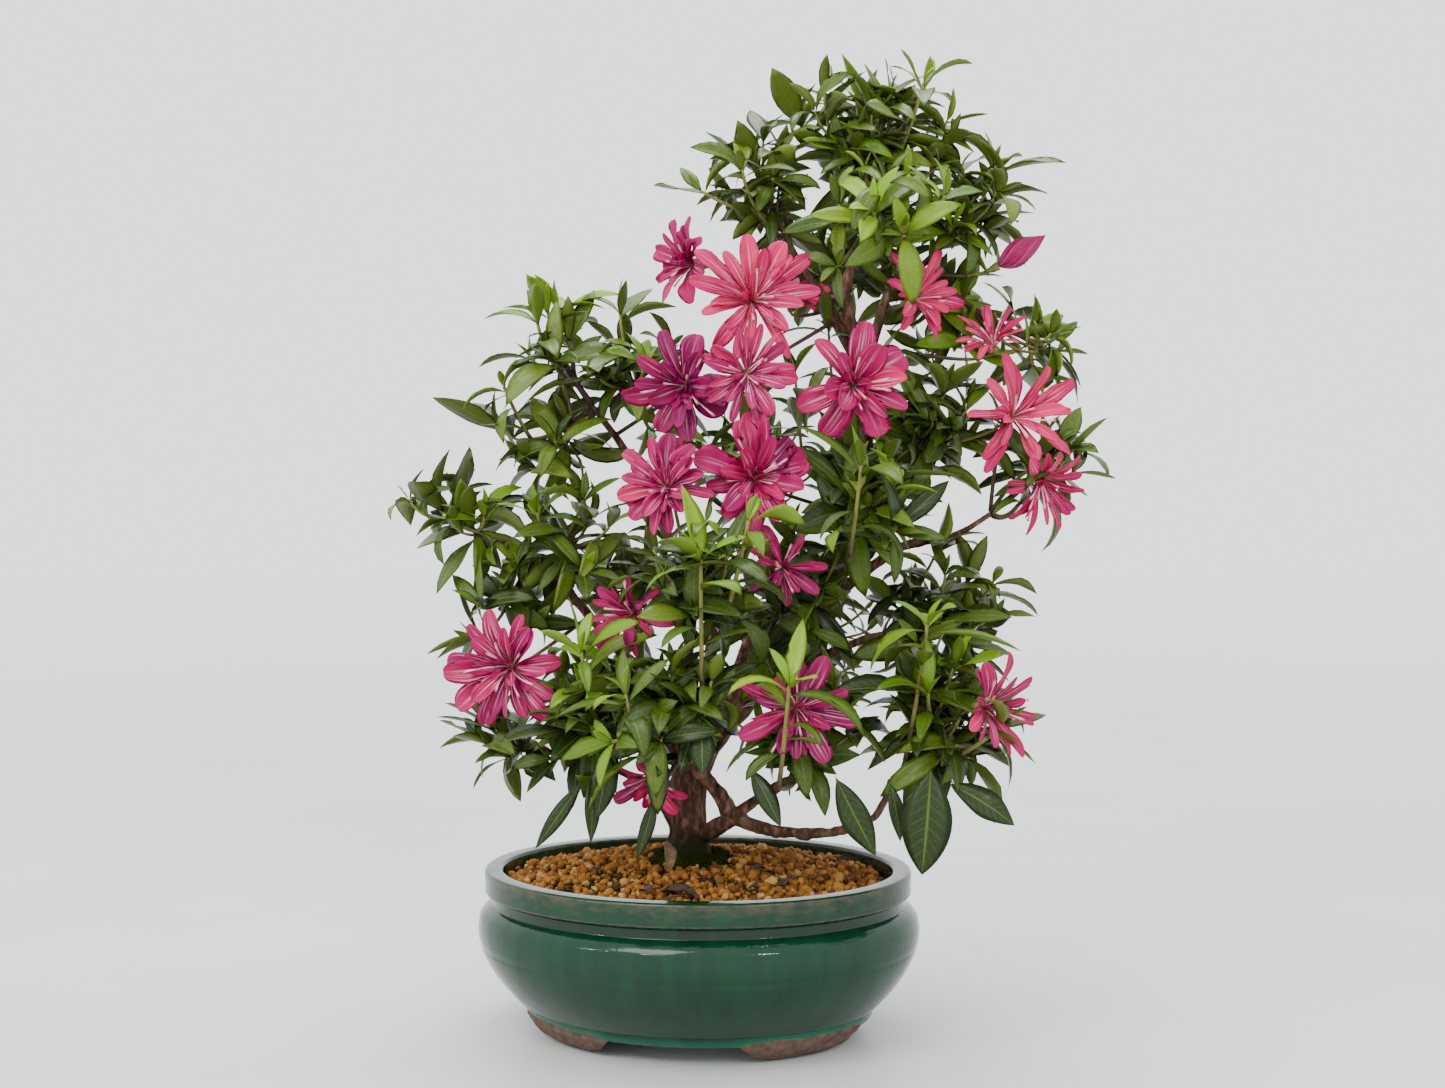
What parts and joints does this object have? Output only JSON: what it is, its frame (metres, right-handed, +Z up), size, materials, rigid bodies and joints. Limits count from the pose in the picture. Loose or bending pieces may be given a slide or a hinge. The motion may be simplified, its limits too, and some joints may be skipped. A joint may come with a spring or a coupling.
{
  "type": "azalea bonsai tree in a pot",
  "caption": "Flowering azalea bonsai with a leaning trunk, leaf sprays and open double flowers, rooted in clay grains in an oval glazed pot on feet.",
  "frame": {"origin": "on the surface that the pot stands on, below the middle of the whole plant's box; the pot's own middle is 31.8 mm towards -X and 10.9 mm towards -Y, because the crown leans to +X", "axes": "+Z up; X along the oval pot's length and Y across it, -Y is the front of the pot; the tree's best side is turned 10 degrees from the pot's front, towards +X"},
  "size_m": [0.408, 0.245, 0.569],
  "materials": {
    "green_glaze": "deep green glaze over stoneware, glossy, running to turquoise above unglazed brown clay feet",
    "screen_plastic": "black plastic mesh, matt",
    "clip_wire": "soft aluminium wire, drawn finish",
    "root_soil": "damp dark brown potting mix with roots, matt",
    "akadama_grains": "orange-tan baked clay grains, matt and dusty",
    "moss": "dark green moss, matt",
    "dry_leaf": "dry brown leaf, matt",
    "dark_leaf": "damp dark leaf, matt",
    "bark": "red-brown flaking bark on old wood, olive on young stems",
    "foliage": "dark green leaves with a waxy sheen, young ones yellow-green",
    "petals": "magenta-pink petals with pale streaks, satin"
  },
  "bodies": {
    "root": {"pot": "green_glaze", "drain_screen_left": "screen_plastic", "drain_screen_right": "screen_plastic", "screen_wire_left": "clip_wire", "screen_wire_right": "clip_wire", "root_zone_soil": "root_soil", "akadama_top_layer": "akadama_grains", "moss_collar": "moss", "dry_leaf": "dry_leaf", "dark_leaf": "dark_leaf", "trunk_and_limbs": "bark", "spray_apex": "foliage", "spray_apex_left": "foliage", "spray_crown_front": "foliage", "spray_crown_right": "foliage", "spray_crown_back": "foliage", "spray_right_shoulder": "foliage", "spray_right_upper": "foliage", "spray_right_middle": "foliage", "spray_right_outer": "foliage", "spray_centre_front": "foliage", "spray_right_low_middle": "foliage", "spray_right_low_front": "foliage", "spray_centre_low": "foliage", "spray_front_high": "foliage", "spray_front_low": "foliage", "spray_front_right_low": "foliage", "spray_left_low": "foliage", "spray_left_low_tip": "foliage", "spray_left_lower": "foliage", "spray_left_middle": "foliage", "spray_far_left": "foliage", "spray_left_upper": "foliage", "spray_left_high": "foliage", "spray_inner_left": "foliage", "spray_back_middle": "foliage", "spray_back_low": "foliage", "spray_back_left": "foliage", "flower_crown_left_side": "petals", "flower_crown_left": "petals", "flower_centre_left": "petals", "flower_centre_top": "petals", "flower_centre_right": "petals", "flower_lower_left": "petals", "flower_lower_right": "petals", "flower_crown_behind": "petals", "flower_crown_right": "petals", "flower_shoulder_thin": "petals", "flower_right_open": "petals", "flower_right_hanging": "petals", "flower_low_left": "petals", "flower_low_centre": "petals", "flower_low_right": "petals", "flower_inner_left": "petals", "flower_inner_centre": "petals", "flower_by_trunk": "petals", "flower_bud": "petals"}
  },
  "joints": []
}
